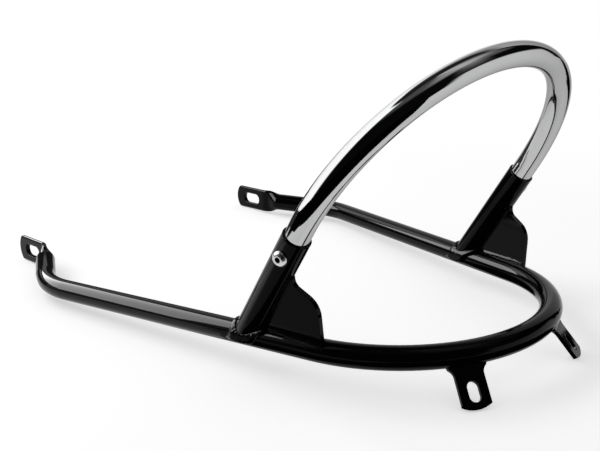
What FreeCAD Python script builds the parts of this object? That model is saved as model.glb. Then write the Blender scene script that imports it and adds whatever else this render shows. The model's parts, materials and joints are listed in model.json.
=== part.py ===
import FreeCAD, Part
import math
import os

from FreeCAD import Vector

# Motorcycle grab rail, in millimetres.
# A round tube is bent into a rail that loops behind the seat, and its two front ends are pressed
# flat into bolt tabs. Two sleeves lean back from the rail's arms, each with a gusset plate behind
# it, and hold the legs of a plated hoop. Two slotted tabs hang under the loop.
# Axes: +X to the rear of the machine, +Y to its right, +Z up, square to the plane of the rail.

# Main rail
RAIL_DIAMETER = 18.2
RAIL_WALL = 2.0
LOOP_RADIUS = 122.0
ARM_SPLAY = 12.0
ARM_LENGTH = 291.0
OUTER_BEND_RADIUS = 70.0
INNER_BEND_RADIUS = 10.0
JOGGLE_ANGLE = 28.0

# Front tabs, pressed from the ends of the rail
TAB_SPACING = 282.4
TAB_LENGTH = 48.0
TAB_HEIGHT = 25.2
TAB_THICKNESS = 4.2
TAB_LIFT = 4.9
TAB_TIP_RADIUS = 17.0
PRESS_LENGTH = 15.0
FRONT_SLOT_WIDTH = 12.0
FRONT_SLOT_LENGTH = 27.0
FRONT_SLOT_FROM_TIP = 26.0

# Sockets that carry the hoop
SOCKET_DIAMETER = 22.0
SOCKET_BORE = 19.3
SOCKET_LENGTH = 106.0
SOCKET_LEAN = 35.0
SOCKET_STATION = 61.0
SOCKET_WELD_LEG = 3.2

# Gusset plates between the sockets and the rail
GUSSET_THICKNESS = 4.0
GUSSET_TOE_IN = 8.3
GUSSET_LENGTH = 73.5
GUSSET_CORNER_HEIGHT = 38.7
GUSSET_SLOPE = 29.0
GUSSET_CORNER_RADIUS = 16.5
GUSSET_RUNOUT_RADIUS = 7.5

# Hoop
HOOP_DIAMETER = 19.0
HOOP_WALL = 1.5
HOOP_LEG = 116.0
HOOP_INSERTION = 50.0

# Rear tabs under the loop
REAR_TAB_ANGLE = 26.0
REAR_TAB_LEAN = 37.5
REAR_TAB_WIDTH = 22.4
REAR_TAB_THICKNESS = 3.0
REAR_TAB_LENGTH = 40.2
REAR_TAB_TIP_RADIUS = 22.0
REAR_TAB_ROOT_RADIUS = 7.0
REAR_TAB_INSET = 1.7
REAR_SLOT_WIDTH = 9.0
REAR_SLOT_LENGTH = 15.0
REAR_SLOT_FROM_TIP = 12.5

PLATE_WELD_LEG = 2.6

# Screws through the sockets, and the nuts welded inside the hoop's legs
SCREW_DIAMETER = 6.0
SCREW_LENGTH = 12.0
SCREW_FROM_RIM = 15.5
SCREW_TURN = 14.0
HEAD_DIAMETER = 11.6
HEAD_HEIGHT = 3.0
HEAD_RIM = 0.9
HEAD_FLAT_DIAMETER = 6.0
HEX_ACROSS_FLATS = 4.0
HEX_DEPTH = 2.2
HOLE_CLEARANCE = 0.6
THREAD_CLEARANCE = 0.1
NUT_DIAMETER = 11.0
NUT_LENGTH = 7.0

UP = Vector(0, 0, 1)
RIGHT = Vector(0, 1, 0)
MIRROR_PLANE = (Vector(0, 0, 0), RIGHT)
RAIL_RADIUS = RAIL_DIAMETER / 2
SOCKET_RADIUS = SOCKET_DIAMETER / 2
PRESS_STEPS = 8
RUNOUT_SHARE = 0.66
TOUCH = 0.001

# Landmarks on the right-hand side, from the centre of the loop
SPLAY = math.radians(ARM_SPLAY)
LEAN = math.radians(SOCKET_LEAN)
ARM_RUN = Vector(-math.cos(SPLAY), math.sin(SPLAY), 0)
LOOP_END = Vector(math.sin(SPLAY), math.cos(SPLAY), 0) * LOOP_RADIUS
OUTER_APEX = LOOP_END + ARM_RUN * ARM_LENGTH
TAB_PLANE = TAB_SPACING / 2
JOGGLE_LENGTH = (OUTER_APEX.y - TAB_PLANE) / math.tan(math.radians(JOGGLE_ANGLE))
INNER_APEX = Vector(OUTER_APEX.x - JOGGLE_LENGTH, TAB_PLANE, 0)
TAB_TIP = INNER_APEX - Vector(TAB_LENGTH, 0, 0)
JOGGLE_RUN = (INNER_APEX - OUTER_APEX).normalize()
JOGGLE_STRAIGHT = (INNER_APEX - OUTER_APEX).Length - INNER_BEND_RADIUS * math.tan(math.radians(JOGGLE_ANGLE / 2))
JOGGLE_RISE = TAB_LIFT / (JOGGLE_STRAIGHT - PRESS_LENGTH / 2)
PRESS_START = OUTER_APEX + (JOGGLE_RUN + UP * JOGGLE_RISE) * (JOGGLE_STRAIGHT - PRESS_LENGTH)
SOCKET_FOOT = LOOP_END + ARM_RUN * SOCKET_STATION
SOCKET_AXIS = Vector(math.sin(LEAN), 0, math.cos(LEAN))
SCREW_CENTRE = SOCKET_FOOT + SOCKET_AXIS * (SOCKET_LENGTH - SCREW_FROM_RIM)
SCREW_SETTING = FreeCAD.Rotation(SOCKET_AXIS, -SCREW_TURN)
SCREW_AXIS = SCREW_SETTING.multVec(RIGHT)


def mirrored(shape):
    """The same shape on the left-hand side."""
    return shape.mirror(*MIRROR_PLANE)


def flipped(point):
    """The same point on the left-hand side."""
    return Vector(point.x, -point.y, point.z)


def tangent_arc(before, apex, after, radius):
    """Start, middle, end and centre of the arc that rounds the corner at apex."""
    back = (before - apex).normalize()
    ahead = (after - apex).normalize()
    half_angle = back.getAngle(ahead) / 2
    bisector = (back + ahead).normalize()
    reach = radius / math.tan(half_angle)
    centre = apex + bisector * (radius / math.sin(half_angle))
    return apex + back * reach, centre - bisector * radius, apex + ahead * reach, centre


def arc_edge(start, middle, end):
    return Part.Arc(start, middle, end).toShape()


def tube_along(edges, radius):
    """A solid round bar that follows a chain of edges."""
    start = edges[0].valueAt(edges[0].FirstParameter)
    heading = edges[0].tangentAt(edges[0].FirstParameter)
    section = Part.Face(Part.Wire(Part.makeCircle(radius, start, heading)))
    return Part.Wire(edges).makePipe(section)


def plate(edges, normal, thickness):
    """A flat plate of the outline that the edges close, centred on their plane."""
    face = Part.Face(Part.Wire(edges))
    face.translate(normal * (-thickness / 2))
    return face.extrude(normal * thickness)


def edges_where(piece, test):
    """Edges of a piece that pass a test at points spread along them."""
    found = []
    for edge in piece.Edges:
        span = edge.LastParameter - edge.FirstParameter
        points = [edge.valueAt(edge.FirstParameter + span * share) for share in (0.25, 0.5, 0.75)]
        if all(test(point) for point in points):
            found.append(edge)
    return found


def corner_edges(plate_piece, face_point, normal, bodies):
    """Edges on one face of a plate where it stands on any of the bodies."""

    def in_corner(point):
        on_face = abs((point - face_point).dot(normal)) < TOUCH
        return on_face and any(Part.Vertex(point).distToShape(body)[0] < TOUCH for body in bodies)

    return edges_where(plate_piece, in_corner)


def bead_along(edges, leg, bodies):
    """Weld along a run of edges: round bars, with a ball at each joint, less the bodies that they join."""
    bars = [tube_along([edge], leg) for edge in edges]
    ends = [vertex.Point for edge in edges for vertex in edge.Vertexes]
    for index, point in enumerate(ends):
        if any(point.distanceToPoint(other) < TOUCH for other in ends[:index]):
            bars.append(Part.makeSphere(leg, point))
    bead = bars[0].cut(bodies)
    if len(bars) > 1:
        bead = bead.fuse([bar.cut(bodies) for bar in bars[1:]])
    return bead


def slot(centre, along, normal, width, length, depth):
    """A round-ended slot cutter, centred, with its depth along the normal."""
    across = normal.cross(along)
    half_run = along * ((length - width) / 2)
    half_width = across * (width / 2)
    end_round = along * (width / 2)
    edges = [
        Part.makeLine(centre - half_run + half_width, centre + half_run + half_width),
        arc_edge(centre + half_run + half_width, centre + half_run + end_round, centre + half_run - half_width),
        Part.makeLine(centre + half_run - half_width, centre - half_run - half_width),
        arc_edge(centre - half_run - half_width, centre - half_run - end_round, centre - half_run + half_width),
    ]
    return plate(edges, normal, depth)


def side_of_rail():
    """Edges of one round-section side, from the pressed end to the end of the loop."""
    start, middle, end, _ = tangent_arc(LOOP_END, OUTER_APEX, PRESS_START, OUTER_BEND_RADIUS)
    return [
        Part.makeLine(PRESS_START, end),
        arc_edge(end, middle, start),
        Part.makeLine(start, LOOP_END),
    ]


def rail_edges():
    right = side_of_rail()
    rear = Vector(LOOP_RADIUS, 0, 0)
    left = [mirrored(edge) for edge in reversed(right)]
    return right + [arc_edge(LOOP_END, rear, flipped(LOOP_END))] + left


def pressed_section(distance, share, inset=0.0):
    """Outline of the tube once a share of its side arcs has been opened out flat.

    Four arcs meet at common tangents. The side arcs open out into flats as the tube is pressed,
    and the end arcs tighten to half the thickness of the tab.
    """
    round_side_angle = math.pi / 2 * (1 - TAB_THICKNESS / RAIL_DIAMETER)
    flat = TAB_HEIGHT - TAB_THICKNESS
    side_length = (1 - share) * 2 * round_side_angle * RAIL_RADIUS + share * flat
    end_length = (1 - share) * (math.pi - 2 * round_side_angle) * RAIL_RADIUS
    end_length += share * math.pi * TAB_THICKNESS / 2
    side_angle = round_side_angle * (1 - share)
    end_radius = end_length / (math.pi - 2 * side_angle)
    levelling = distance / PRESS_LENGTH
    climb = JOGGLE_RISE * distance * (1 - levelling / 2)
    centre = PRESS_START + JOGGLE_RUN * distance + UP * climb
    heading = JOGGLE_RUN + UP * (JOGGLE_RISE * (1 - levelling))
    across = JOGGLE_RUN.cross(UP)
    upright = across.cross(heading).normalize()

    def at(sideways, upwards):
        return centre + across * sideways + upright * upwards

    if share < 1:
        side_radius = side_length / (2 * side_angle)
        end_centre = (side_radius - end_radius) * math.sin(side_angle)
        half_width = side_radius - (side_radius - end_radius) * math.cos(side_angle) - inset
    else:
        end_centre = flat / 2
        half_width = end_radius - inset
    joint_side = (end_radius - inset) * math.cos(side_angle)
    joint_up = end_centre + (end_radius - inset) * math.sin(side_angle)
    top = end_centre + end_radius - inset
    if share < 1:
        near_side = arc_edge(at(joint_side, -joint_up), at(half_width, 0), at(joint_side, joint_up))
        far_side = arc_edge(at(-joint_side, joint_up), at(-half_width, 0), at(-joint_side, -joint_up))
    else:
        near_side = Part.makeLine(at(joint_side, -joint_up), at(joint_side, joint_up))
        far_side = Part.makeLine(at(-joint_side, joint_up), at(-joint_side, -joint_up))
    upper_end = arc_edge(at(joint_side, joint_up), at(0, top), at(-joint_side, joint_up))
    lower_end = arc_edge(at(-joint_side, -joint_up), at(0, -top), at(joint_side, -joint_up))
    return Part.Wire([near_side, upper_end, far_side, lower_end])


def press_stations(last_step):
    """Distance along the pressed length and share of flattening at each step."""
    for step in range(last_step + 1):
        part_way = step / PRESS_STEPS
        yield part_way * PRESS_LENGTH, part_way * part_way * (3 - 2 * part_way)


def front_end():
    """The right-hand end of the rail: pressed transition, inner bend and slotted tab."""
    sections = [pressed_section(*station) for station in press_stations(PRESS_STEPS)]
    transition = Part.makeLoft(sections, True, False)
    _, _, bend_end, bend_centre = tangent_arc(OUTER_APEX, INNER_APEX, TAB_TIP, INNER_BEND_RADIUS)
    flat_face = Part.Face(sections[-1])
    bend = flat_face.revolve(bend_centre, UP, -JOGGLE_ANGLE)
    tab_face = flat_face.copy()
    tab_face.rotate(bend_centre, UP, -JOGGLE_ANGLE)
    tab = tab_face.extrude(TAB_TIP - bend_end)
    tip = TAB_TIP + UP * TAB_LIFT
    half_height = TAB_HEIGHT / 2
    tip_rise = TAB_TIP_RADIUS - math.sqrt(TAB_TIP_RADIUS ** 2 - half_height ** 2)
    corner = tip + Vector(tip_rise, 0, half_height)
    root = bend_end + UP * (TAB_LIFT + half_height)
    height = UP * TAB_HEIGHT
    blank = plate(
        [
            Part.makeLine(root - height, corner - height),
            arc_edge(corner - height, tip, corner),
            Part.makeLine(corner, root),
            Part.makeLine(root, root - height),
        ],
        RIGHT,
        2 * TAB_THICKNESS,
    )
    bolt_centre = tip + Vector(FRONT_SLOT_FROM_TIP, 0, 0)
    bolt_slot = slot(
        bolt_centre, Vector(1, 0, 0), RIGHT, FRONT_SLOT_WIDTH, FRONT_SLOT_LENGTH, 2 * TAB_THICKNESS
    )
    return transition.fuse([bend, tab.common(blank).cut(bolt_slot)])


def pressed_bore():
    """The tube's bore as it narrows into the pressed length."""
    last_open_step = PRESS_STEPS - 2
    sections = [pressed_section(*station, RAIL_WALL) for station in press_stations(last_open_step)]
    return Part.makeLoft(sections, True, False)


def rail_skin(extra=0.0):
    """The round length of the rail as a solid bar, thicker by extra all round."""
    return tube_along(rail_edges(), RAIL_RADIUS + extra)


def main_rail(skin):
    end = front_end()
    bore_end = pressed_bore()
    outside = skin.fuse([end, mirrored(end)]).removeSplitter()
    bore = tube_along(rail_edges(), RAIL_RADIUS - RAIL_WALL)
    bore = bore.fuse([bore_end, mirrored(bore_end)]).removeSplitter()
    return outside.cut(bore)


def socket_rod(radius, reach=0.0):
    """A bar on the socket's axis, from the foot to the rim, with reach added below the foot."""
    return Part.makeCylinder(radius, SOCKET_LENGTH + reach, SOCKET_FOOT - SOCKET_AXIS * reach, SOCKET_AXIS)


def screw_hole():
    """Clearance hole from the socket's axis out through its outer side."""
    return Part.makeCylinder((SCREW_DIAMETER + HOLE_CLEARANCE) / 2, SOCKET_DIAMETER, SCREW_CENTRE, SCREW_AXIS)


def above(height):
    """A block that covers everything near the socket above a height."""
    size = 4 * SOCKET_LENGTH
    corner = SOCKET_FOOT - Vector(size / 2, size / 2, 0)
    return Part.makeBox(size, size, size, Vector(corner.x, corner.y, height))


def socket_blank():
    """The socket's outside as a solid bar, cut level with the middle of the rail."""
    return socket_rod(SOCKET_RADIUS, SOCKET_DIAMETER).common(above(0))


def socket(skin):
    bore = socket_rod(SOCKET_BORE / 2, 2 * SOCKET_DIAMETER)
    return socket_blank().cut(bore).cut(skin).cut(screw_hole())


def gusset_frame():
    """Directions of the gusset's plane: along the rail, up, and square to the plate."""
    toe_in = math.radians(GUSSET_TOE_IN)
    along = Vector(math.cos(toe_in), -math.sin(toe_in), 0)
    normal = SOCKET_AXIS.cross(along).normalize()
    return along, along.cross(normal).normalize(), normal


def gusset_blank(thickness=GUSSET_THICKNESS):
    """The gusset's outline, run on to the axes of socket and rail, as a plate."""
    along, up, normal = gusset_frame()
    behind = (along - SOCKET_AXIS * along.dot(SOCKET_AXIS)).normalize()
    slope = math.radians(GUSSET_SLOPE)
    slope_run = along * math.cos(slope) - up * math.sin(slope)

    rear_foot = SOCKET_FOOT + along * GUSSET_LENGTH
    corner = rear_foot + up * GUSSET_CORNER_HEIGHT
    setback = (corner - SOCKET_FOOT).dot(behind) - SOCKET_RADIUS
    meeting = corner - slope_run * (setback / slope_run.dot(behind))

    edge_end, corner_middle, slope_start, _ = tangent_arc(rear_foot, corner, meeting, GUSSET_CORNER_RADIUS)
    slope_end, _, _, runout_centre = tangent_arc(
        corner, meeting, meeting + SOCKET_AXIS * GUSSET_LENGTH, GUSSET_RUNOUT_RADIUS
    )
    turn = math.degrees((slope_run * -1).getAngle(SOCKET_AXIS)) * RUNOUT_SHARE
    spoke = slope_end - runout_centre
    hand = 1 if normal.dot((slope_run * -1).cross(SOCKET_AXIS)) > 0 else -1
    runout_middle = runout_centre + FreeCAD.Rotation(normal, hand * turn / 2).multVec(spoke)
    runout_end = runout_centre + FreeCAD.Rotation(normal, hand * turn).multVec(spoke)
    on_axis = runout_end - behind * (runout_end - SOCKET_FOOT).dot(behind)
    edges = [
        Part.makeLine(SOCKET_FOOT, rear_foot),
        Part.makeLine(rear_foot, edge_end),
        arc_edge(edge_end, corner_middle, slope_start),
        Part.makeLine(slope_start, slope_end),
        arc_edge(slope_end, runout_middle, runout_end),
        Part.makeLine(runout_end, on_axis),
        Part.makeLine(on_axis, SOCKET_FOOT),
    ]
    return plate(edges, normal, thickness)


def gusset(skin):
    return gusset_blank().cut(skin).cut(socket_rod(SOCKET_RADIUS, SOCKET_DIAMETER))


def gusset_weld(skin, gusset_plate, side):
    """Bead along one face of the gusset, on the rail and up the socket, flush with the gusset's edges."""
    normal = gusset_frame()[2]
    rod = socket_rod(SOCKET_RADIUS, SOCKET_DIAMETER)
    face_point = SOCKET_FOOT + normal * (side * GUSSET_THICKNESS / 2)
    edges = corner_edges(gusset_plate, face_point, normal, [skin, rod])
    bead = bead_along(edges, PLATE_WELD_LEG, [skin, rod, gusset_plate])
    return bead.common(gusset_blank(GUSSET_THICKNESS + 4 * PLATE_WELD_LEG))


def socket_weld(skin, gusset_pieces):
    """Bead around the foot of the socket, within one leg of both tubes, up to the gusset."""
    near_socket = socket_rod(SOCKET_RADIUS + SOCKET_WELD_LEG, 2 * SOCKET_DIAMETER)
    near_both = near_socket.common(rail_skin(SOCKET_WELD_LEG)).common(above(-SOCKET_WELD_LEG))
    return near_both.cut(socket_blank()).cut(skin).cut(gusset_pieces)


def rear_tab_frame():
    """Centre on the rail, and the tab's directions: across, down its length, and out of its face."""
    angle = math.radians(REAR_TAB_ANGLE)
    lean = math.radians(REAR_TAB_LEAN)
    outward = Vector(math.cos(angle), math.sin(angle), 0)
    across = Vector(-math.sin(angle), math.cos(angle), 0)
    down = outward * math.sin(lean) - UP * math.cos(lean)
    normal = outward * math.cos(lean) + UP * math.sin(lean)
    return outward * LOOP_RADIUS - normal * REAR_TAB_INSET, across, down, normal


def rear_tab_blank(thickness=REAR_TAB_THICKNESS):
    """Outline of a rear tab, run on into the rail, as a plate."""
    root, across, down, normal = rear_tab_frame()

    def at(sideways, downwards):
        return root + across * sideways + down * downwards

    half = REAR_TAB_WIDTH / 2
    flare_angle = math.radians(90 * RUNOUT_SHARE)

    def flare(side, angle):
        out = half + REAR_TAB_ROOT_RADIUS * (1 - math.cos(angle))
        return at(side * out, RAIL_RADIUS + REAR_TAB_ROOT_RADIUS * (1 - math.sin(angle)))

    flare_out = half + REAR_TAB_ROOT_RADIUS * (1 - math.cos(flare_angle))
    tip_rise = REAR_TAB_TIP_RADIUS - math.sqrt(REAR_TAB_TIP_RADIUS ** 2 - half ** 2)
    corner = REAR_TAB_LENGTH - tip_rise
    edges = [
        Part.makeLine(at(-flare_out, 0), flare(-1, flare_angle)),
        arc_edge(flare(-1, flare_angle), flare(-1, flare_angle / 2), flare(-1, 0)),
        Part.makeLine(flare(-1, 0), at(-half, corner)),
        arc_edge(at(-half, corner), at(0, REAR_TAB_LENGTH), at(half, corner)),
        Part.makeLine(at(half, corner), flare(1, 0)),
        arc_edge(flare(1, 0), flare(1, flare_angle / 2), flare(1, flare_angle)),
        Part.makeLine(flare(1, flare_angle), at(flare_out, 0)),
        Part.makeLine(at(flare_out, 0), at(-flare_out, 0)),
    ]
    return plate(edges, normal, thickness)


def rear_tab(skin):
    root, _, down, normal = rear_tab_frame()
    bolt_centre = root + down * (REAR_TAB_LENGTH - REAR_SLOT_FROM_TIP)
    bolt_slot = slot(bolt_centre, down, normal, REAR_SLOT_WIDTH, REAR_SLOT_LENGTH, 2 * REAR_TAB_THICKNESS)
    return rear_tab_blank().cut(skin).cut(bolt_slot)


def rear_tab_weld(skin, tab, side):
    """Bead along one face of a rear tab where it meets the loop, flush with the tab's edges."""
    root, _, _, normal = rear_tab_frame()
    face_point = root + normal * (side * REAR_TAB_THICKNESS / 2)
    edges = corner_edges(tab, face_point, normal, [skin])
    bead = bead_along(edges, PLATE_WELD_LEG, [skin, tab])
    return bead.common(rear_tab_blank(REAR_TAB_THICKNESS + 4 * PLATE_WELD_LEG))


def hoop_edges():
    """Right leg, half-circle over the top, and left leg."""
    leg_end = SOCKET_FOOT + SOCKET_AXIS * (SOCKET_LENGTH - HOOP_INSERTION)
    shoulder = SOCKET_FOOT + SOCKET_AXIS * HOOP_LEG
    middle = Vector(shoulder.x, 0, shoulder.z)
    crown = middle + SOCKET_AXIS * shoulder.y
    return [
        Part.makeLine(leg_end, shoulder),
        arc_edge(shoulder, crown, flipped(shoulder)),
        Part.makeLine(flipped(shoulder), flipped(leg_end)),
    ]


def hoop():
    outside = tube_along(hoop_edges(), HOOP_DIAMETER / 2)
    bore = tube_along(hoop_edges(), HOOP_DIAMETER / 2 - HOOP_WALL)
    return outside.cut(bore).cut([screw_hole(), mirrored(screw_hole())])


def screw():
    """Domed socket-head screw, seated on the outside of the right-hand socket."""
    seat = SCREW_CENTRE + SCREW_AXIS * SOCKET_RADIUS
    rim = HEAD_DIAMETER / 2
    crown = HEAD_FLAT_DIAMETER / 2
    dome_middle = Vector(rim - (rim - crown) * 0.4, HEAD_RIM + (HEAD_HEIGHT - HEAD_RIM) * 0.7, 0)
    profile = [
        Part.makeLine(Vector(0, 0, 0), Vector(rim, 0, 0)),
        Part.makeLine(Vector(rim, 0, 0), Vector(rim, HEAD_RIM, 0)),
        arc_edge(Vector(rim, HEAD_RIM, 0), dome_middle, Vector(crown, HEAD_HEIGHT, 0)),
        Part.makeLine(Vector(crown, HEAD_HEIGHT, 0), Vector(0, HEAD_HEIGHT, 0)),
        Part.makeLine(Vector(0, HEAD_HEIGHT, 0), Vector(0, 0, 0)),
    ]
    head = Part.Face(Part.Wire(profile)).revolve(Vector(0, 0, 0), RIGHT, 360)
    corner_radius = HEX_ACROSS_FLATS / 2 / math.cos(math.pi / 6)
    corners = []
    for index in range(7):
        angle = index * math.pi / 3
        corners.append(Vector(math.cos(angle), 0, math.sin(angle)) * corner_radius + RIGHT * HEAD_HEIGHT)
    drive = Part.Face(Part.makePolygon(corners)).extrude(RIGHT * -HEX_DEPTH)
    shank = Part.makeCylinder(SCREW_DIAMETER / 2, SCREW_LENGTH, Vector(0, 0, 0), RIGHT * -1)
    fastener = head.cut(drive).fuse(shank)
    fastener.Placement = FreeCAD.Placement(seat, SCREW_SETTING)
    return fastener


def hoop_nut():
    """Round nut welded inside the hoop's leg, shaped to the wall of the tube."""
    bore_radius = HOOP_DIAMETER / 2 - HOOP_WALL
    inner_end = SCREW_CENTRE + SCREW_AXIS * (bore_radius - NUT_LENGTH)
    blank = Part.makeCylinder(NUT_DIAMETER / 2, NUT_LENGTH, inner_end, SCREW_AXIS)
    thread = Part.makeCylinder(SCREW_DIAMETER / 2 + THREAD_CLEARANCE, NUT_LENGTH, inner_end, SCREW_AXIS)
    return blank.cut(thread).common(socket_rod(bore_radius))


def build():
    skin = rail_skin()
    right = {
        "socket": socket(skin),
        "gusset": gusset(skin),
        "rear_tab": rear_tab(skin),
        "screw": screw(),
        "hoop_nut": hoop_nut(),
    }
    for face, side in (("outer", 1), ("inner", -1)):
        right["gusset_weld_" + face] = gusset_weld(skin, right["gusset"], side)
        right["rear_tab_weld_" + face] = rear_tab_weld(skin, right["rear_tab"], side)
    for plate_weld in ("gusset_weld", "rear_tab_weld"):
        right[plate_weld + "_inner"] = right[plate_weld + "_inner"].cut(right[plate_weld + "_outer"])
    gusset_pieces = [right["gusset"], right["gusset_weld_outer"], right["gusset_weld_inner"]]
    right["socket_weld"] = socket_weld(skin, gusset_pieces)

    pieces = {"main_rail": main_rail(skin), "hoop": hoop()}
    for name, shape in right.items():
        pieces[name + "_right"] = shape
        pieces[name + "_left"] = mirrored(shape)
    return pieces


def stand_on_origin(pieces):
    """Move every piece so that the origin is under the middle of the whole rail."""
    box = Part.makeCompound(list(pieces.values())).optimalBoundingBox(False, False)
    shift = Vector(-box.Center.x, -box.Center.y, -box.ZMin)
    for shape in pieces.values():
        shape.translate(shift)


parts = build()
stand_on_origin(parts)
os.makedirs("parts", exist_ok=True)
for node, solid in parts.items():
    solid.exportStep(os.path.join("parts", node + ".step"))
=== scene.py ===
"""Looks of a motorcycle grab rail: black gloss paint on welded tube, a plated hand hoop, bright screws."""

import json
import math

import bmesh
import bpy
from mathutils import Matrix, Vector
from mathutils.bvhtree import BVHTree

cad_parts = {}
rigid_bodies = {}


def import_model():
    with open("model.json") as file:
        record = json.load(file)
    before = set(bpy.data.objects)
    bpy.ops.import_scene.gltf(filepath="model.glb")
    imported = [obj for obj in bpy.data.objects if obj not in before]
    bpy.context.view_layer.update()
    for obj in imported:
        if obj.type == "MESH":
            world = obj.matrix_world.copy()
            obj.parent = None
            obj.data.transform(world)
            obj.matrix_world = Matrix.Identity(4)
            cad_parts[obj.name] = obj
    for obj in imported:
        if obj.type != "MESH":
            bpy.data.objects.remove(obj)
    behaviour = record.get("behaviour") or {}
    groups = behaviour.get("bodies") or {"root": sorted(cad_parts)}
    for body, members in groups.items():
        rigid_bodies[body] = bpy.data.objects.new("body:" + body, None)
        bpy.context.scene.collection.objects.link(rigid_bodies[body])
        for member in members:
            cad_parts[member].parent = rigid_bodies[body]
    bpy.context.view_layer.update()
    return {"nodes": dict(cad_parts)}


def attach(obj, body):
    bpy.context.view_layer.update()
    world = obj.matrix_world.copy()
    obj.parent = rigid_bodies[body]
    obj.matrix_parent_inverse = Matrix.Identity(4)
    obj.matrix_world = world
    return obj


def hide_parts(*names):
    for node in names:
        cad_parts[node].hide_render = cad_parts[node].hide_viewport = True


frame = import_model()
nodes = frame["nodes"]
scene = bpy.context.scene
scene.view_settings.view_transform = "Standard"

# Camera, in pixels, millimetres of sensor and metres
IMAGE_WIDTH = 600
FOCAL_LENGTH = 949.6
SENSOR_WIDTH = 36.0
CAMERA_PLACE = Vector((0.61770, -0.55180, 0.29974))
CAMERA_AHEAD = Vector((-0.71642548, 0.64665903, -0.26185231))
CAMERA_UP = Vector((-0.16816091, 0.20420282, 0.96437706))

# Places on the part, given for its right side
SOCKET_FOOT = Vector((0.0883, 0.13202, 0.03384))
SOCKET_AXIS = Vector((0.573576, 0.0, 0.819152))
SCREW_CENTRE = Vector((0.14021, 0.13202, 0.10797))
SCREW_AXIS = Vector((0.1982, 0.9703, -0.1388))
REAR_TAB_ANGLE = math.radians(26.0)
PRESSED_ENDS = (-0.212, -0.206)

# Paint; each scale of noise is in lumps for each metre
PAINT_GLOSS = 0.075
DEEP_BLACK = (0.0008, 0.0008, 0.0009, 1.0)
DUSTY_BLACK = (0.0018, 0.0018, 0.0020, 1.0)
PEEL_SCALE = 700.0
PEEL_DEPTH = 0.000006
PAINT_CLOUD_SCALE = 30.0
SPECK_SCALE = 2600.0
SPECK_LEVELS = (0.72, 0.78)
EDGE_ROUNDING = 0.0005
FOLD_ROUNDING = 0.0016

# Welds: the ripples in the paint over them, and the shape of the fillets
RIPPLE_SPACING = 0.0026
RIPPLES_ROUND_SOCKET = 26.0
RIPPLE_SWAY = 9.0
SWAY_SCALE = 260.0
LUMP_SCALE = 420.0
LUMPS_TO_RIPPLES = 4
GUSSET_WELD_WAY = Vector((1.0, 0.0, 0.35))
GUSSET_WELD_DEPTH = 0.00001
SOCKET_WELD_DEPTH = 0.00003
TAB_WELD_DEPTH = 0.00002
GUSSET_WELD_TOP = 0.1655
WELD_RUNOUT = 0.012
RUNOUT_LEFT = 0.1
HOLLOW_SHARE = 0.4
LONGEST_EDGE = 0.0014
HAIR = 0.00002

# Plating and screws
PLATING_DULL = (0.470, 0.473, 0.473, 1.0)
PLATING_CLEAN = (0.505, 0.508, 0.508, 1.0)
PLATING_EDGE = (0.5, 0.5, 0.5, 1.0)
PLATING_CLOUD_SCALE = 45.0
PLATING_WAVE_SCALE = 120.0
PLATING_WAVE_DEPTH = 0.00002
ZINC_DULL = (0.60, 0.60, 0.61, 1.0)
ZINC_CLEAN = (0.74, 0.74, 0.75, 1.0)
ZINC_CLOUD_SCALE = 500.0
# Painted shade in the screws' hex sockets: near black within the first radius, fading out by the second
RECESS_PAINTED_SHADE = (0.03, 0.03, 0.03, 1.0)
RECESS_SHADE_RADIUS = (0.0020, 0.0025)
TURNING_PITCH = 0.00035
TURNING_DEPTH = 0.000004

# Floor: the part leans on it by its rear tabs, and the flat shapes lie just over it
REST_TILT = math.radians(2.92)
REAR_TIP_X = 0.2573
FLOOR_SIZE = 8.0
FLOOR_GLOW = 0.48
FLOOR_GREYS = ((0.78, 0.78, 0.78, 1.0), (0.80, 0.80, 0.80, 1.0))
FLOOR_CLOUD_SCALE = 3.0
FLOOR_FADE = (0.35, 0.8)
SHADE_COLOUR = (0.9, 0.9, 0.9, 1.0)
# Black of the sheets past the table's edge, and of the painted shadows of the rails
CLOTH_AND_SHADOW_COLOUR = (0.002, 0.002, 0.002, 1.0)
LOW_PATCH_HEIGHT = 0.0004
SHEET_HEIGHT = 0.0006
SHADOWS_ON_PLATING = 1.0
SHADE_ON_PLATING = 0.4
SPILL_LIGHT = 1.1
TABLE_EDGE = ((-6.0, -0.42), (-0.1, -0.39), (0.1, -0.34), (0.28, -0.22), (0.45, -0.05), (0.58, 0.02),
              (6.0, 0.2), (6.0, -6.0), (-6.0, -6.0))
CARD_GAP = ((0.17, 0.46), (0.25, 0.46), (0.32, 1.2), (0.6, 6.0), (-0.1, 6.0), (0.15, 1.2))
# Painted shadows of the rails and the loop on the table, in black, for the gloss alone
FAR_RAIL_SHADOW = ((0.05, -0.05), (0.20, -0.05), (0.21, 0.10), (0.16, 0.12), (0.05, 0.12))
NEAR_RAIL_SHADOW = ((0.065, -0.185), (0.19, -0.175), (0.18, -0.13), (0.085, -0.141))
LOOP_SHADOW = ((0.19, -0.175), (0.28, -0.19), (0.38, -0.06), (0.38, 0.08), (0.30, 0.14), (0.24, 0.10),
               (0.26, 0.0), (0.235, -0.09), (0.18, -0.13))
RAIL_SHADOWS = (FAR_RAIL_SHADOW, NEAR_RAIL_SHADOW, LOOP_SHADOW)
SHADED_FLOOR = ((0.075, -0.186), (0.05, -0.20), (0.01, -0.28), (0.0, -0.335), (0.12, -0.31), (0.24, -0.23),
                (0.19, -0.176))
LAMP_SPILL = ((-0.26, -0.17), (-0.1, -0.155), (0.06, -0.142), (0.05, -0.18), (0.02, -0.21), (0.0, -0.26),
              (-0.02, -0.36), (-0.26, -0.38))

# Finishes that a light is kept for, by how the names of their materials start
PAINTED = ("black_paint", )
PLATED = ("plating", "zinc")

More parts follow.
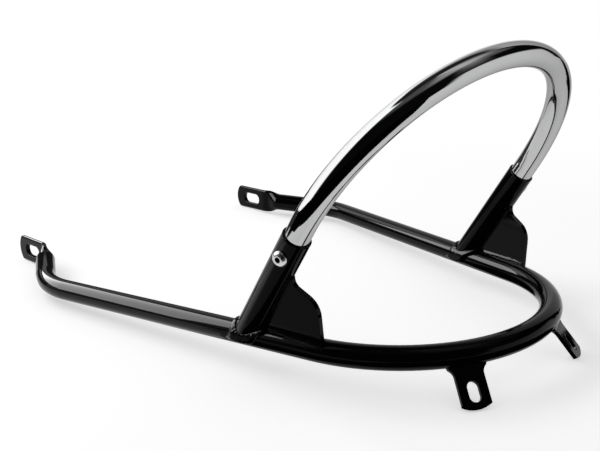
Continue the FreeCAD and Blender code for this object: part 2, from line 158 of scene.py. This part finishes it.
# Walls, in metres, light, and the degrees over which one part fades into the next; a lean tilts an edge
ROOM_LIGHT = 0.42
WALL_RADIUS = 5.0
INNER_WALL_SHARE = 0.99
BACKDROP_LIGHT = 0.95
BACKDROP_ON_PLATING = 1.0
BACKDROP_RIGHT, BACKDROP_RIGHT_LEAN = (-47.0, -28.0), 0.6
BACKDROP_LEFT, BACKDROP_LEFT_LEAN = (103.0, 115.0), 0.25
BACKDROP_TOP, BACKDROP_TOP_LEAN = (50.5, 53.0), 0.13
BACKDROP_CORNER, BACKDROP_CORNER_LEAN = (36.0, 40.0), 0.45
CARD_LEAN = 0.27
PAST_CARD_LEFT, PAST_CARD_RIGHT, PAST_CARD_FOOT = (-134.0, -100.0), (-58.0, -52.0), (36.0, 44.0)
SIDE_CARD_LEFT, SIDE_CARD_RIGHT, SIDE_CARD_TOP = (-128.0, -117.0), (-60.0, -55.0), (12.0, 18.0)
BESIDE_CARD_LEFT, BESIDE_CARD_RIGHT, BESIDE_CARD_FOOT = (-134.0, -114.0), (-112.0, -96.0), (14.0, 40.0)
RIGHT_WALL_START, RIGHT_WALL_END = (-48.0, -45.0), (60.0, 90.0)
CEILING_FOOT, CEILING_START, CEILING_END = (46.0, 62.0), (-178.0, -125.0), (-100.0, -45.0)
CEILING_EDGE_START = (105.0, 150.0)
RIGHT_WALL_LIGHT = 0.7
CEILING_LIGHT = 0.5
CEILING_EDGE_LIGHT = 0.09
BESIDE_CARD_LIGHT = 0.16
PAST_CARD_LIGHT = 0.14
HIGH_WALL_LIGHT = 0.02
DARK_WALL_LIGHT = 0.004

# Lamps and flags; a panel is the two ends of its foot and its rise
LAMP_FRONT = ((-0.695, -0.08, 0.27), (-0.36, -0.85, 0.16), 0.85)
LAMP_LIGHT = 19.0
FAR_LAMP = ((-2.97, 0.42, 1.2), (-2.93, -0.62, 1.2), 1.4)
FAR_LAMP_LIGHT = 3.5
FLAG_BESIDE_LAMP = ((-0.74, -0.10, 0.03), (-0.50, 0.35, 0.03), 0.24)
FLAG_UNDER_LAMP = ((-0.66, -0.50, 0.03), (-0.74, -0.10, 0.03), 0.15)
FLAG_LIGHT = 0.06
SOFTBOX_POWER = 20.0
SOFTBOX_SIZE = (2.2, 0.9)
SOFTBOX_DISTANCE = 2.2
SOFTBOX_BEARING = math.radians(-150.0)
SOFTBOX_HEIGHT = math.radians(45.0)


class Value:
    """One output of a shader node, for use in plain arithmetic."""

    def __init__(self, tree, socket):
        self.tree = tree
        self.socket = socket

    def add(self, kind, settings, inputs, output=0):
        """A new node in the same tree, its settings first and then the values or links of its sockets."""
        node = self.tree.nodes.new(kind)
        for name, setting in settings.items():
            setattr(node, name, setting)
        feed(node, inputs)
        return Value(self.tree, node.outputs[output])

    def math(self, operation, first, second=0.0):
        return self.add("ShaderNodeMath", {"operation": operation}, {0: first, 1: second})

    def __add__(self, other):
        return self.math("ADD", self, other)

    def __radd__(self, other):
        return self.math("ADD", other, self)

    def __sub__(self, other):
        return self.math("SUBTRACT", self, other)

    def __rsub__(self, other):
        return self.math("SUBTRACT", other, self)

    def __mul__(self, other):
        return self.math("MULTIPLY", self, other)

    def __rmul__(self, other):
        return self.math("MULTIPLY", other, self)

    def __truediv__(self, other):
        return self.math("DIVIDE", self, other)

    def vector(self, operation, other=None, output=0):
        """Vector maths on a place, with another place or a direction."""
        inputs = {0: self} if other is None else {0: self, 1: other}
        return self.add("ShaderNodeVectorMath", {"operation": operation}, inputs, output)

    def dot(self, direction):
        """How far a place lies along a direction."""
        return self.vector("DOT_PRODUCT", direction, "Value")

    def length(self):
        """How far a place lies from where it is measured."""
        return self.vector("LENGTH", None, "Value")

    def between(self, low, high):
        """0 below low, 1 above high, and smooth between them."""
        settings = {"interpolation_type": "SMOOTHSTEP"}
        return self.add("ShaderNodeMapRange", settings, {0: self, 1: low, 2: high})

    def wave(self):
        """Sine of an angle."""
        return self.math("SINE", self)

    def noise(self, scale, detail):
        """Noise on a place, with scale in lumps for each metre."""
        return self.add("ShaderNodeTexNoise", {}, {"Vector": self, "Scale": scale, "Detail": detail})

    def mix(self, first, second):
        """A colour between two, by this value."""
        return self.add("ShaderNodeMix", {"data_type": "RGBA"}, {0: self, 6: first, 7: second}, 2)

    def mix_vector(self, first, second):
        """A direction between two, by this value."""
        return self.add("ShaderNodeMix", {"data_type": "VECTOR"}, {0: self, 4: first, 5: second}, 1)

    def bump(self, height, normal=None):
        """A normal dented by a height in metres."""
        inputs = {"Height": height, "Strength": 1.0, "Distance": 1.0}
        if normal is not None:
            inputs["Normal"] = normal
        return self.add("ShaderNodeBump", {}, inputs)


def feed(node, inputs):
    """Values set on a node's sockets, and links made to them."""
    for name, value in inputs.items():
        if isinstance(value, Value):
            value.tree.links.new(value.socket, node.inputs[name])
        else:
            node.inputs[name].default_value = value


def on_side(place, side):
    """A place or direction of the right side, or its twin on the left."""
    return Vector((place.x, side * place.y, place.z))


def start_material(name):
    """A new material with its shader, and the Object coordinates in it."""
    material = bpy.data.materials.new(name)
    material.use_nodes = True
    shader = material.node_tree.nodes["Principled BSDF"]
    place = Value(material.node_tree, None).add("ShaderNodeTexCoord", {}, {}, "Object")
    return material, shader, place


def dark_paint(shader, place, ripple=None, rounded=None):
    """Black gloss paint with a fine orange peel; ripple is the height of the metal under it."""
    peel = place.noise(PEEL_SCALE, 1.0)
    cloud = place.noise(PAINT_CLOUD_SCALE, 4.0)
    specks = place.noise(SPECK_SCALE, 2.0).between(*SPECK_LEVELS)
    height = peel * PEEL_DEPTH
    if ripple is not None:
        height = height + ripple
    feed(shader, {
        "Base Color": (cloud + specks * 0.4).mix(DEEP_BLACK, DUSTY_BLACK),
        "Roughness": 0.03 + cloud * 0.05 + specks * 0.12,
        "IOR": 1.5,
        "Specular IOR Level": PAINT_GLOSS,
        "Normal": place.bump(height, rounded),
    })


def plate_paint():
    """Paint on plates and sleeves, over slightly rounded edges."""
    material, shader, place = start_material("black_paint")
    edges = place.add("ShaderNodeBevel", {"samples": 6}, {"Radius": EDGE_ROUNDING})
    dark_paint(shader, place, None, edges)
    return material


def rail_paint():
    """Paint on the rail, with rounded folds where its front ends are pressed flat."""
    material, shader, place = start_material("black_paint_rail")
    pressed = 1 - place.dot(Vector((1.0, 0.0, 0.0))).between(*PRESSED_ENDS)
    folds = place.add("ShaderNodeBevel", {"samples": 8}, {"Radius": FOLD_ROUNDING})
    plain = place.add("ShaderNodeNewGeometry", {}, {}, "Normal")
    dark_paint(shader, place, None, pressed.mix_vector(plain, folds))
    return material


def painted_weld(name, phase_at, depth):
    """Paint over the ripples of a weld, so deep; phase_at turns a place into the angle of its ripples."""
    material, shader, place = start_material(name)
    sway = place.noise(SWAY_SCALE, 2.0)
    lumps = place.noise(LUMP_SCALE, 2.0)
    ripples = (phase_at(place) + sway * RIPPLE_SWAY).wave()
    dark_paint(shader, place, ripples * depth + lumps * depth * LUMPS_TO_RIPPLES)
    return material


def along(direction):
    """Ripples square to a direction."""
    turns = 2 * math.pi / RIPPLE_SPACING
    return lambda place: place.dot(direction) * turns


def around_socket(side):
    """Ripples round the foot of the socket on one side."""
    foot = on_side(SOCKET_FOOT, side)
    across = Vector((0.0, 1.0, 0.0))
    ahead = across.cross(SOCKET_AXIS)

    def phase(place):
        out = place.vector("SUBTRACT", foot)
        return out.math("ARCTAN2", out.dot(ahead), out.dot(across)) * RIPPLES_ROUND_SOCKET

    return phase


def chrome_plate():
    """Bright plating, a little cloudy, over tube that isn't quite even."""
    material, shader, place = start_material("plating")
    cloud = place.noise(PLATING_CLOUD_SCALE, 4.0)
    waves = place.noise(PLATING_WAVE_SCALE, 1.0)
    feed(shader, {
        "Base Color": cloud.mix(PLATING_DULL, PLATING_CLEAN),
        "Metallic": 1.0,
        "Roughness": 0.025 + cloud * 0.04,
        "Specular Tint": PLATING_EDGE,
        "Normal": place.bump(waves * PLATING_WAVE_DEPTH),
    })
    return material


def bright_zinc(name, side):
    """Turned rings on the head of the screw on one side, and painted shade darkening its hex socket."""
    material, shader, place = start_material(name)
    out = place.vector("SUBTRACT", on_side(SCREW_CENTRE, side))
    radius = out.vector("CROSS_PRODUCT", on_side(SCREW_AXIS, side)).length()
    cloud = place.noise(ZINC_CLOUD_SCALE, 3.0)
    # Painted shade in the hex socket, which is also rougher there
    recess_shade = 1 - radius.between(*RECESS_SHADE_RADIUS)
    rings = (radius * (2 * math.pi / TURNING_PITCH)).wave()
    feed(shader, {
        "Base Color": recess_shade.mix(cloud.mix(ZINC_DULL, ZINC_CLEAN), RECESS_PAINTED_SHADE),
        "Metallic": 1.0,
        "Roughness": 0.20 + cloud * 0.14 + recess_shade * 0.25,
        "Normal": place.bump(rings * TURNING_DEPTH),
    })
    return material


def surface(name):
    """The surface of a CAD node, for finding the closest point on it."""
    mesh = nodes[name].data
    return BVHTree.FromPolygons([v.co for v in mesh.vertices], [p.vertices for p in mesh.polygons])


def way_to(surfaces, place):
    """The way from a place to the closest point on any of some surfaces."""
    ways = [tree.find_nearest(place)[0] - place for tree in surfaces]
    return min(ways, key=lambda way: way.length)


def unfold(shape):
    """Triangles alone, with none as thin as a hair, folded flat on another or hanging loose."""
    bmesh.ops.remove_doubles(shape, verts=shape.verts, dist=HAIR)
    bmesh.ops.dissolve_degenerate(shape, edges=shape.edges, dist=HAIR)
    bmesh.ops.triangulate(shape, faces=shape.faces)
    alike = {}
    for face in shape.faces:
        alike.setdefault(frozenset(face.verts), []).append(face)
    folded = [face for faces in alike.values() for face in faces[len(faces) % 2:]]
    bmesh.ops.delete(shape, geom=folded, context="FACES")
    crowded = [edge for edge in shape.edges if len(edge.link_faces) > 2]
    hanging = {face for edge in crowded for face in edge.link_faces
               if any(side.is_boundary for side in face.edges)}
    bmesh.ops.delete(shape, geom=list(hanging), context="FACES")


def fine_copy(weld):
    """The mesh of a weld's plain bead, merged and cut into small triangles."""
    shape = bmesh.new()
    shape.from_mesh(nodes[weld].data)
    unfold(shape)
    for _ in range(4):
        long = [edge for edge in shape.edges if edge.calc_length() > LONGEST_EDGE]
        bmesh.ops.subdivide_edges(shape, edges=long, cuts=1)
        unfold(shape)
    return shape


def hollow_out(shape, first, others, top):
    """Draw a bead in between the pieces that it joins, and let it run out below a top, if it has one."""
    plate = [surface(first)]
    seats = [surface(name) for name in others]
    spans = [(vertex, way_to(plate, vertex.co), way_to(seats, vertex.co)) for vertex in shape.verts]
    leg = max(max(to_plate.length, to_seat.length) for _, to_plate, to_seat in spans)
    for vertex, to_plate, to_seat in spans:
        round_reach = (math.sqrt(to_plate.length) + math.sqrt(to_seat.length)) ** 2
        flat_reach = to_plate.length + to_seat.length
        reach = HOLLOW_SHARE * round_reach + (1.0 - HOLLOW_SHARE) * flat_reach
        keep = min(1.0, leg / max(reach, leg * 0.01))
        if top is not None:
            keep *= min(1.0, max(RUNOUT_LEFT, (top - vertex.co.dot(SOCKET_AXIS)) / WELD_RUNOUT))
        vertex.co += (to_plate + to_seat) * (1.0 - keep)
    bmesh.ops.smooth_vert(shape, verts=shape.verts, factor=0.5,
                          use_axis_x=True, use_axis_y=True, use_axis_z=True)


def fillet(weld, first, others, top=None):
    """Hollow fillet in the place of a weld's plain bead, between one piece and the others it stands on."""
    shape = fine_copy(weld)
    hollow_out(shape, first, others, top)
    unfold(shape)
    for face in shape.faces:
        face.smooth = True
    mesh = bpy.data.meshes.new(weld + "_fillet")
    shape.to_mesh(mesh)
    shape.free()
    mesh.materials.append(nodes[weld].data.materials[0])
    piece = bpy.data.objects.new(weld + "_fillet", mesh)
    scene.collection.objects.link(piece)
    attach(piece, "root")
    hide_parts(weld)


def dress():
    """Finishes on all pieces, and fillets in the place of the plain beads."""
    paint = plate_paint()
    finishes = {"hoop": chrome_plate(), "main_rail": rail_paint()}
    on_gusset = along(GUSSET_WELD_WAY)
    gusset_weld = {"inner": painted_weld("black_paint_gusset_weld", on_gusset, GUSSET_WELD_DEPTH),
                   "outer": painted_weld("shaded_paint_gusset_weld", on_gusset, GUSSET_WELD_DEPTH)}
    for side, name in ((-1, "left"), (1, "right")):
        zinc = bright_zinc("zinc_" + name, side)
        finishes["screw_" + name] = zinc
        finishes["hoop_nut_" + name] = zinc
        finishes["socket_weld_" + name] = painted_weld("black_paint_socket_weld_" + name,
                                                       around_socket(side), SOCKET_WELD_DEPTH)
        across = on_side(Vector((-math.sin(REAR_TAB_ANGLE), math.cos(REAR_TAB_ANGLE), 0.0)), side)
        tab_weld = painted_weld("black_paint_tab_weld_" + name, along(across), TAB_WELD_DEPTH)
        for face in ("outer", "inner"):
            finishes["gusset_weld_%s_%s" % (face, name)] = gusset_weld[face]
            finishes["rear_tab_weld_%s_%s" % (face, name)] = tab_weld
    for name, node in nodes.items():
        node.data.materials.clear()
        node.data.materials.append(finishes.get(name, paint))
    for side in ("left", "right"):
        gusset, socket, tab = "gusset_" + side, "socket_" + side, "rear_tab_" + side
        for face in ("outer", "inner"):
            fillet("gusset_weld_%s_%s" % (face, side), gusset, ("main_rail", socket), GUSSET_WELD_TOP)
            fillet("rear_tab_weld_%s_%s" % (face, side), tab, ("main_rail",))
        fillet("socket_weld_" + side, socket, ("main_rail",))


def camera():
    data = bpy.data.cameras.new("camera")
    data.sensor_width = SENSOR_WIDTH
    data.lens = FOCAL_LENGTH * SENSOR_WIDTH / IMAGE_WIDTH
    data.clip_start = 0.01
    data.clip_end = 100.0
    eye = bpy.data.objects.new("camera", data)
    scene.collection.objects.link(eye)
    back = -CAMERA_AHEAD.normalized()
    right = CAMERA_UP.cross(back).normalized()
    up = back.cross(right)
    turn = Matrix((right, up, back)).transposed().to_4x4()
    eye.matrix_world = Matrix.Translation(CAMERA_PLACE) @ turn
    scene.camera = eye


def stage_piece(name, shape, material):
    """A piece of the studio."""
    mesh = bpy.data.meshes.new(name)
    shape.to_mesh(mesh)
    shape.free()
    mesh.materials.append(material)
    piece = bpy.data.objects.new(name, mesh)
    scene.collection.objects.link(piece)
    return piece


def gloss_piece(name, shape, material):
    """A piece of the studio that is there only for the gloss of the object to show."""
    piece = stage_piece(name, shape, material)
    piece.visible_camera = False
    piece.visible_diffuse = False
    piece.visible_transmission = False
    piece.visible_shadow = False
    return piece


def shine_on(lamp, finishes):
    """Let a stage piece shine only on pieces whose material's name starts with one of some words."""
    lit = bpy.data.collections.new(lamp.name + "_shines_on")
    for piece in scene.objects:
        if piece.type == "MESH" and piece.data.materials:
            if piece.data.materials[0].name.startswith(finishes):
                lit.objects.link(piece)
    lamp.light_linking.receiver_collection = lit


def bare_material(name):
    """A new material with no shader yet: its output, and a seed for nodes."""
    material = bpy.data.materials.new(name)
    material.use_nodes = True
    tree = material.node_tree
    tree.nodes.remove(tree.nodes["Principled BSDF"])
    return material, tree.nodes["Material Output"], Value(tree, None)


def glow_on_clear(seed, inputs):
    """Light from a sheet that is otherwise clear."""
    glow = seed.add("ShaderNodeEmission", {}, inputs)
    return seed.add("ShaderNodeAddShader", {}, {0: glow, 1: seed.add("ShaderNodeBsdfTransparent", {}, {})})


def clear_glow(name, strength):
    """Material of a clear sheet that shines evenly."""
    material, output, seed = bare_material(name)
    feed(output, {"Surface": glow_on_clear(seed, {"Strength": strength})})
    return material


def matt(name, colour):
    """Plain material with no gloss."""
    material, output, seed = bare_material(name)
    feed(output, {"Surface": seed.add("ShaderNodeBsdfDiffuse", {}, {"Color": colour})})
    return material


def background_rays(seed):
    """1 for the rays that show the background: straight, off metal or through glass."""
    shown = seed.add("ShaderNodeLightPath", {}, {}, "Is Camera Ray")
    for kind in ("Is Glossy Ray", "Is Transmission Ray"):
        shown = shown.math("MAXIMUM", shown, seed.add("ShaderNodeLightPath", {}, {}, kind))
    return shown


def floor_place():
    return Matrix.Translation((REAR_TIP_X, 0, 0)) @ Matrix.Rotation(REST_TILT, 4, "Y")


def pale_floor():
    """White floor that takes the object's shadow near it and is plain white further off."""
    material, output, seed = bare_material("pale_floor")
    place = seed.add("ShaderNodeTexCoord", {}, {}, "Object")
    colour = place.noise(FLOOR_CLOUD_SCALE, 3.0).mix(*FLOOR_GREYS)
    cover = seed.add("ShaderNodeBsdfDiffuse", {}, {"Color": colour})
    glow = seed.add("ShaderNodeEmission", {}, {"Strength": background_rays(seed) * FLOOR_GLOW})
    near = seed.add("ShaderNodeAddShader", {}, {0: cover, 1: glow})
    far = seed.add("ShaderNodeEmission", {}, {"Strength": background_rays(seed)})
    away = place.length().between(*FLOOR_FADE)
    feed(output, {"Surface": seed.add("ShaderNodeMixShader", {}, {0: away, 1: near, 2: far})})
    shape = bmesh.new()
    bmesh.ops.create_grid(shape, x_segments=1, y_segments=1, size=FLOOR_SIZE)
    bmesh.ops.transform(shape, matrix=floor_place(), verts=shape.verts)
    stage_piece("floor", shape, material)


def floor_patch(name, outlines, height, material):
    """Flat shapes just over the floor, for the gloss alone."""
    shape = bmesh.new()
    for outline in outlines:
        shape.faces.new([shape.verts.new((x - REAR_TIP_X, y, height)) for x, y in outline])
    bmesh.ops.transform(shape, matrix=floor_place(), verts=shape.verts)
    return gloss_piece(name, shape, material)


def lit_sheet(name, outlines, strength, finishes):
    """Flat sheet of light over the floor, on some finishes alone."""
    shine_on(floor_patch(name, outlines, SHEET_HEIGHT, clear_glow(name, strength)), finishes)


def table():
    """Black sheets past the table's edge and by the white card, painted rail shadows, shade and lamplight on
    the table.
    """
    cloth_and_shadow = matt("black_cloth_and_painted_shadow", CLOTH_AND_SHADOW_COLOUR)
    floor_patch("table_edge", (TABLE_EDGE, CARD_GAP), LOW_PATCH_HEIGHT, cloth_and_shadow)
    # Painted shadows of the rails, in the same black
    floor_patch("rail_shadows", RAIL_SHADOWS, LOW_PATCH_HEIGHT, cloth_and_shadow)
    floor_patch("shaded_floor", (SHADED_FLOOR, ), LOW_PATCH_HEIGHT, matt("shaded_floor", SHADE_COLOUR))
    lit_sheet("shadows_on_plating", RAIL_SHADOWS, SHADOWS_ON_PLATING, PLATED)
    lit_sheet("shade_on_plating", (SHADED_FLOOR, ), SHADE_ON_PLATING, PLATED)
    lit_sheet("lamp_spill", (LAMP_SPILL, ), SPILL_LIGHT, PAINTED)


def on_walls(seed):
    """Bearing and height in degrees of a place on the walls, and how much of the lit backdrop is there."""
    place = seed.add("ShaderNodeTexCoord", {}, {}, "Object")
    x, y, z = (place.dot(axis) for axis in (Vector((1, 0, 0)), Vector((0, 1, 0)), Vector((0, 0, 1))))
    ahead = y - x
    bearing = ahead.math("ARCTAN2", -1.0 * (x + y), ahead) * (180 / math.pi)
    height = z.math("ARCSINE", z / WALL_RADIUS) * (180 / math.pi)
    right_edge = (bearing - height * BACKDROP_RIGHT_LEAN).between(*BACKDROP_RIGHT)
    left_edge = 1 - (bearing - height * BACKDROP_LEFT_LEAN).between(*BACKDROP_LEFT)
    top_edge = 1 - (height - bearing * BACKDROP_TOP_LEAN).between(*BACKDROP_TOP)
    top_corner = 1 - (height - bearing * BACKDROP_CORNER_LEAN).between(*BACKDROP_CORNER)
    return bearing, height, right_edge * left_edge * top_edge * top_corner


def wall_piece(name, material, radius):
    shape = bmesh.new()
    bmesh.ops.create_uvsphere(shape, u_segments=64, v_segments=32, radius=radius)
    return gloss_piece(name, shape, material)


def studio_walls():
    """Dark room behind the camera, a lit backdrop at the far left and a grey ceiling, for the gloss alone."""
    material, output, seed = bare_material("studio_walls")
    bearing, height, backdrop = on_walls(seed)
    high = height.between(*CEILING_FOOT)
    slant = bearing + height * CARD_LEAN
    past_card = bearing.between(*PAST_CARD_LEFT) * (1 - slant.between(*PAST_CARD_RIGHT))
    past_card = past_card * height.between(*PAST_CARD_FOOT)
    beside_card = bearing.between(*BESIDE_CARD_LEFT) * (1 - bearing.between(*BESIDE_CARD_RIGHT))
    beside_card = beside_card * height.between(*BESIDE_CARD_FOOT)
    behind = bearing.between(*CEILING_START)
    ceiling = high * behind * (1 - bearing.between(*CEILING_END))
    ceiling_edge = high * (bearing.between(*CEILING_EDGE_START) + 1 - behind)
    right_wall = slant.between(*RIGHT_WALL_START) * (1 - high) * (1 - bearing.between(*RIGHT_WALL_END))
    room = (ceiling * CEILING_LIGHT + ceiling_edge * CEILING_EDGE_LIGHT + beside_card * BESIDE_CARD_LIGHT
            + past_card * PAST_CARD_LIGHT + high * HIGH_WALL_LIGHT + DARK_WALL_LIGHT)
    light = backdrop.math("MAXIMUM", backdrop * BACKDROP_LIGHT, right_wall * RIGHT_WALL_LIGHT) + room
    wall = seed.add("ShaderNodeEmission", {}, {"Color": light})
    side_card = bearing.between(*SIDE_CARD_LEFT) * (1 - slant.between(*SIDE_CARD_RIGHT))
    opening = side_card * (1 - height.between(*SIDE_CARD_TOP))
    clear = seed.add("ShaderNodeBsdfTransparent", {}, {})
    feed(output, {"Surface": seed.add("ShaderNodeMixShader", {}, {0: opening, 1: wall, 2: clear})})
    wall_piece("studio_walls", material, WALL_RADIUS)


def backdrop_on_plating():
    """More light from the backdrop, for the plating alone."""
    material, output, seed = bare_material("backdrop_on_plating")
    _, _, backdrop = on_walls(seed)
    feed(output, {"Surface": glow_on_clear(seed, {"Color": backdrop * BACKDROP_ON_PLATING})})
    shine_on(wall_piece("backdrop_on_plating", material, WALL_RADIUS * INNER_WALL_SHARE), PLATED)


def upright_panel(name, panel, material):
    """A flat panel that stands on a line between two places, for the gloss alone."""
    start, end, rise = panel
    shape = bmesh.new()
    foot = [shape.verts.new(place) for place in (start, end)]
    raised = bmesh.ops.extrude_edge_only(shape, edges=[shape.edges.new(foot)])["geom"]
    top = [item for item in raised if isinstance(item, bmesh.types.BMVert)]
    bmesh.ops.translate(shape, vec=(0.0, 0.0, rise), verts=top)
    return gloss_piece(name, shape, material)


def lamp_panels():
    """The front of a lamp at the left, a dimmer one far behind it, and the dark flags beside and under it."""
    shine_on(upright_panel("lamp_front", LAMP_FRONT, clear_glow("lamp_front", LAMP_LIGHT)), PAINTED)
    shine_on(upright_panel("far_lamp", FAR_LAMP, clear_glow("far_lamp", FAR_LAMP_LIGHT)), PAINTED)
    material, output, seed = bare_material("dark_flag")
    feed(output, {"Surface": seed.add("ShaderNodeEmission", {}, {"Strength": FLAG_LIGHT})})
    upright_panel("flag_beside_lamp", FLAG_BESIDE_LAMP, material)
    upright_panel("flag_under_lamp", FLAG_UNDER_LAMP, material)


def softbox():
    """The lamp that lights the paint's colour and the floor."""
    data = bpy.data.lights.new("softbox", "AREA")
    data.shape = "RECTANGLE"
    data.size, data.size_y = SOFTBOX_SIZE
    data.energy = SOFTBOX_POWER
    lamp = bpy.data.objects.new("softbox", data)
    scene.collection.objects.link(lamp)
    flat = math.cos(SOFTBOX_HEIGHT)
    out = Vector((flat * math.cos(SOFTBOX_BEARING), flat * math.sin(SOFTBOX_BEARING),
                  math.sin(SOFTBOX_HEIGHT)))
    turn = out.to_track_quat("Z", "Y").to_matrix().to_4x4()
    lamp.matrix_world = Matrix.Translation(out * SOFTBOX_DISTANCE) @ turn
    lamp.visible_glossy = False


def sky():
    world = bpy.data.worlds.new("studio")
    world.use_nodes = True
    background = world.node_tree.nodes["Background"]
    shown = background_rays(Value(world.node_tree, None))
    feed(background, {"Color": (1.0, 1.0, 1.0, 1.0), "Strength": shown * (1.0 - ROOM_LIGHT) + ROOM_LIGHT})
    scene.world = world


dress()
camera()
pale_floor()
table()
studio_walls()
backdrop_on_plating()
lamp_panels()
softbox()
sky()
